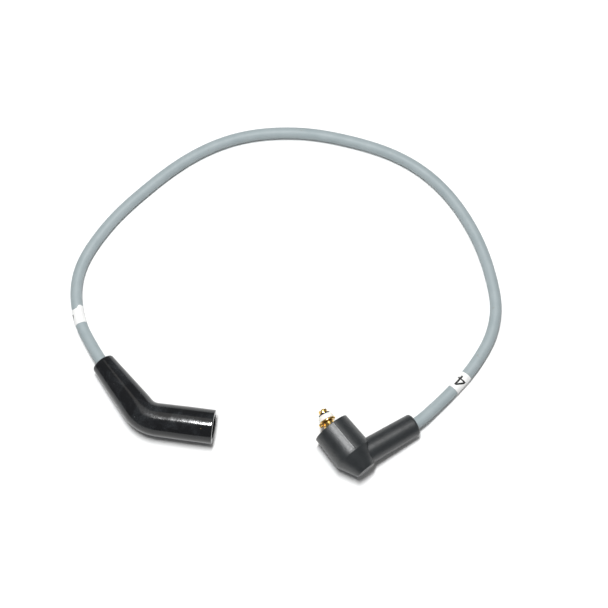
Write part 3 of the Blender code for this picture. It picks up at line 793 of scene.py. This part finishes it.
def make_contact_boot():
    outer = rounded([
        (0.0, 0.6, 0.0), (0.0, BOOT_MOUTH_R, 0.35), (-BOOT_SHOULDER, BOOT_SHOULDER_R, 0.35),
        (-BOOT_LENGTH, BOOT_END_R, 0.55), (-BOOT_LENGTH, 0.6, 0.0)], 5)

    def shape(along, angle, radius):
        if radius < BOOT_BORE_R + 0.5 and along > -BOOT_SHOULDER:
            return 0.0
        point = BOOT_MOUTH + BOOT_OUT * along + Vector((math.sin(angle), math.cos(angle), 0.4)) * radius
        return land_swell(along, angle, radius) + 0.03 * soft_noise(4.0, point, 12.0) * min(1.0, radius / 6.0)

    body_bm = turned(BOOT_MOUTH, BOOT_OUT, divided(outer, 0.8, False), 216, closed=False, swell=shape)
    body = solid("contact_boot_body", body_bm)

    reach = (ARM_END - ELBOW).length
    arm_profile = rounded([
        (0.5, 0.6, 0.0), (0.5, ARM_ELBOW_R, 0.0), (reach, ARM_END_R - 0.05, 1.5), (reach, 0.6, 0.0)], 7)

    def arm_shape(along, angle, radius):
        if radius < ARM_END_R - 1.8:
            return 0.0
        return 0.04 * soft_noise(7.0, ELBOW + ARM_OUT * along + UP * radius * math.cos(angle), 11.0)

    arm = solid("arm", turned(ELBOW, ARM_OUT, divided(arm_profile, 0.9, False), 120, False, arm_shape))
    boolean(body, [arm], "UNION")
    pocket_start, pocket_end = ARM_POCKET
    arm_bore = [(reach + 1.0, 0.6), (reach + 1.0, 4.6), (reach, 4.0), (reach - 0.5, CABLE_HOLE_R),
                (pocket_end, CABLE_HOLE_R), (pocket_end, FERRULE_HOLE_R),
                (pocket_start, FERRULE_HOLE_R), (pocket_start, 0.6)]
    socket_bore = [(1.0, 0.6), (1.0, BOOT_BORE_R + 0.6), (0.0, BOOT_BORE_R + 0.3), (-0.35, BOOT_BORE_R),
                   (-BOOT_BORE_DEPTH, BOOT_BORE_R), (-BOOT_BORE_DEPTH, 7.1),
                   (-ELBOW_DEPTH - 2.5, 6.2), (-ELBOW_DEPTH - 2.5, 0.6)]
    tools = [solid("socket_bore", turned(BOOT_MOUTH, BOOT_OUT, socket_bore, 144, closed=False)),
             solid("arm_bore", turned(ELBOW, ARM_OUT, arm_bore, 96, closed=False))]
    boolean(body, tools, "DIFFERENCE")
    weld(body, 0.004)
    body.name = "contact_boot_shell"
    body.data.name = "contact_boot_shell"
    body.data.materials.clear()
    body.data.materials.append(BOOT_LOOK)
    shade(body, 28.0)
    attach(body, "lead")
    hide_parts("contact_boot")


# ---------------------------------------------------------------- the rocking contact

def on_contact(distance):
    return BOOT_MOUTH + CONTACT_OUT * distance


def soften(piece, width_mm, sharp=30.0):
    """Round the piece's crisp edges."""
    bevel = piece.modifiers.new("soften", "BEVEL")
    bevel.width = width_mm * MM
    bevel.segments = 2
    bevel.limit_method = "ANGLE"
    bevel.angle_limit = math.radians(sharp)
    apply_modifiers(piece)
    shade(piece, 40.0)


def make_contact():
    side, up = ring_frame(CONTACT_OUT)

    barrel_profile = rounded([
        (BARREL_END, BARREL_BORE_R, 0.0), (BARREL_END, 3.2, 0.15), (2.5, 3.3, 0.5),
        (-0.3, BARREL_R + 0.05, 1.2), (-4.0, BARREL_R, 1.0), (BARREL_BACK, BARREL_R, 0.2),
        (BARREL_BACK, BARREL_BORE_R, 0.2)], 4)
    barrel = finish_mesh("barrel", turned(BOOT_MOUTH, CONTACT_OUT, divided(barrel_profile, 0.8), 120),
                         BRASS_LOOK, "contact")
    cuts = []
    for k in range(BARREL_SLOTS):
        outward = spoke(side, up, math.radians(BARREL_FIRST_SLOT + 360.0 / BARREL_SLOTS * k))
        across = CONTACT_OUT.cross(outward)
        cuts.append(box_tool(f"barrel_slot_{k}", on_contact(-0.4) + outward * BARREL_R,
                             (across, outward, CONTACT_OUT), (0.7, 3.0, 7.0)))
    boolean(barrel, cuts, "DIFFERENCE")
    soften(barrel, 0.10)
    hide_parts("contact_barrel")

    flange_profile = rounded([
        (FLANGE_END, COLLAR_BORE_R, 0.1), (FLANGE_END, FLANGE_R, 0.35), (FLANGE_BACK, FLANGE_R, 0.35),
        (FLANGE_BACK, COLLAR_BORE_R, 0.1)], 5)
    flange = finish_mesh("flange", turned(BOOT_MOUTH, CONTACT_OUT, divided(flange_profile, 0.5), 120),
                         DULL_BRASS_LOOK, "contact")
    ear_profile = rounded([(0.0, 0.2, 0.0), (0.0, 1.3, 0.0), (EAR_LENGTH, 1.05, 0.5), (EAR_LENGTH, 0.2, 0.0)])
    ear = solid("ear", turned(on_contact((FLANGE_BACK + FLANGE_END) / 2) - side * EAR_OFFSET, -CONTACT_OUT,
                              ear_profile, 40, closed=False))
    boolean(flange, [ear], "UNION")
    soften(flange, 0.06, 40.0)
    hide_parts("contact_flange")

    collar_profile = rounded([
        (COLLAR_BACK, COLLAR_BORE_R, 0.1), (COLLAR_BACK, COLLAR_R, 0.35), (7.4, COLLAR_R, 0.55),
        (COLLAR_END, RING_R, 0.35), (COLLAR_END, COLLAR_BORE_R, 0.1)], 6)
    # The collar is coloured cream-white as a painted highlight, standing in for glare.
    collar = finish_mesh("contact_collar",
                         turned(BOOT_MOUTH, CONTACT_OUT, divided(collar_profile, 0.6), 120),
                         GLARE_COLLAR_LOOK, "contact")
    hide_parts("contact_insulator")

    ring_profile = rounded([
        (RING_BACK, COLLAR_BORE_R, 0.1), (RING_BACK, RING_R, 0.25), (RING_END, RING_R, 0.25),
        (RING_END, COLLAR_BORE_R, 0.1)], 6)
    ring = finish_mesh("sealing_ring", turned(BOOT_MOUTH, CONTACT_OUT, divided(ring_profile, 0.5), 96),
                       SEAL_LOOK, "contact")
    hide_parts("contact_o_ring")

    crown_profile = rounded([
        (CROWN_END, AXIS_R, 0.0), (CROWN_END, 2.15, 0.15), (11.3, CROWN_R, 0.3), (CROWN_BACK, CROWN_R, 0.25),
        (CROWN_BACK, PIN_R, 0.1), (PIN_BACK, PIN_R, 0.2), (PIN_BACK, AXIS_R, 0.0)], 4)
    crown = finish_mesh("crown_pin",
                        turned(BOOT_MOUTH, CONTACT_OUT, divided(crown_profile, 0.6, False), 96, closed=False),
                        BRASS_LOOK, "contact")
    notches = []
    half_width, half_floor, depth, reach = 0.85, 0.18, 1.7, 4.0
    top, bottom = on_contact(CROWN_END + 0.15), on_contact(CROWN_END - depth)
    for k in range(2):
        angle = math.radians(38.0 + 90.0 * k)
        across = side * math.cos(angle) + up * math.sin(angle)
        along = CONTACT_OUT.cross(across)
        corners = [top + across * half_width, top - across * half_width,
                   bottom - across * half_floor, bottom + across * half_floor]
        notches.append(solid(f"notch_{k}", loft([[c - along * reach for c in corners],
                                                 [c + along * reach for c in corners]], closed=False)))
    boolean(crown, notches, "DIFFERENCE")
    soften(crown, 0.07)
    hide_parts("contact_pin")


# ---------------------------------------------------------------- stage, light and camera

def make_stage():
    bm = bmesh.new()
    bmesh.ops.create_grid(bm, x_segments=1, y_segments=1, size=3.0)
    mesh = bpy.data.meshes.new("floor")
    bm.to_mesh(mesh)
    bm.free()
    paper = Nodes("paper")
    paper.link(paper.ramp(paper.noise(60.0), (0.3, (0.93, 0.93, 0.925)), (0.7, (0.95, 0.95, 0.945))),
               paper.shader.inputs["Base Color"])
    paper.set(Roughness=0.9, Specular_IOR_Level=0.1)
    mesh.materials.append(paper.material)
    placed("floor", mesh)


def area_light(name, place, aim, size, power, colour):
    """A rectangular light; size is its width along X and its depth."""
    light = bpy.data.lights.new(name, "AREA")
    light.shape = "RECTANGLE"
    light.size, light.size_y = size
    light.energy = power
    light.color = colour
    holder = placed(name, light)
    holder.location = place
    holder.rotation_euler = (Vector(aim) - Vector(place)).to_track_quat("-Z", "Y").to_euler()


VIEW_CENTRE = Vector((28.69, 73.0, 0.0))
VIEW_ELEVATION = 71.0
VIEW_DISTANCE = 878.6
VIEW_LENS = 85.0


def make_light_and_camera():
    centre = VIEW_CENTRE * MM
    area_light("flash", centre + Vector((-0.08, 0.03, 1.25)), centre, (0.42, 0.10), 15.0, (0.98, 0.99, 1.0))
    area_light("softbox", centre + Vector((0.1, 0.3, 1.5)), centre, (1.4, 1.4), 4.5, (1.0, 0.95, 0.89))
    world = bpy.data.worlds.new("studio")
    world.use_nodes = True
    background = world.node_tree.nodes["Background"]
    background.inputs["Color"].default_value = (0.95, 0.97, 1.0, 1.0)
    background.inputs["Strength"].default_value = 0.16
    bpy.context.scene.world = world
    bpy.context.scene.view_settings.view_transform = "Standard"

    camera = bpy.data.cameras.new("camera")
    camera.lens = VIEW_LENS
    camera.sensor_width = 36.0
    camera.clip_start = 0.01
    holder = placed("camera", camera)
    tilt = math.radians(VIEW_ELEVATION)
    holder.location = centre + Vector((0.0, -math.cos(tilt), math.sin(tilt))) * VIEW_DISTANCE * MM
    holder.rotation_euler = (math.pi / 2 - tilt, 0.0, 0.0)
    bpy.context.scene.camera = holder


# ---------------------------------------------------------------- build

make_light_and_camera()
make_stage()
cable = make_cable()
markers = make_markers()
make_plug_boot()
make_plug_terminal()
make_contact_boot()
make_contact()

CARRIED = {
    "cable_braid": BRAID_LOOK, "cable_insulation": CORE_SHEATH_LOOK, "conductor_core": CARBON_LOOK,
    "plug_terminal_clip": WIRE_LOOK, "contact_elbow": BRASS_LOOK,
}
for node, look in CARRIED.items():
    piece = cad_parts[node]
    piece.data.materials.clear()
    piece.data.materials.append(look)
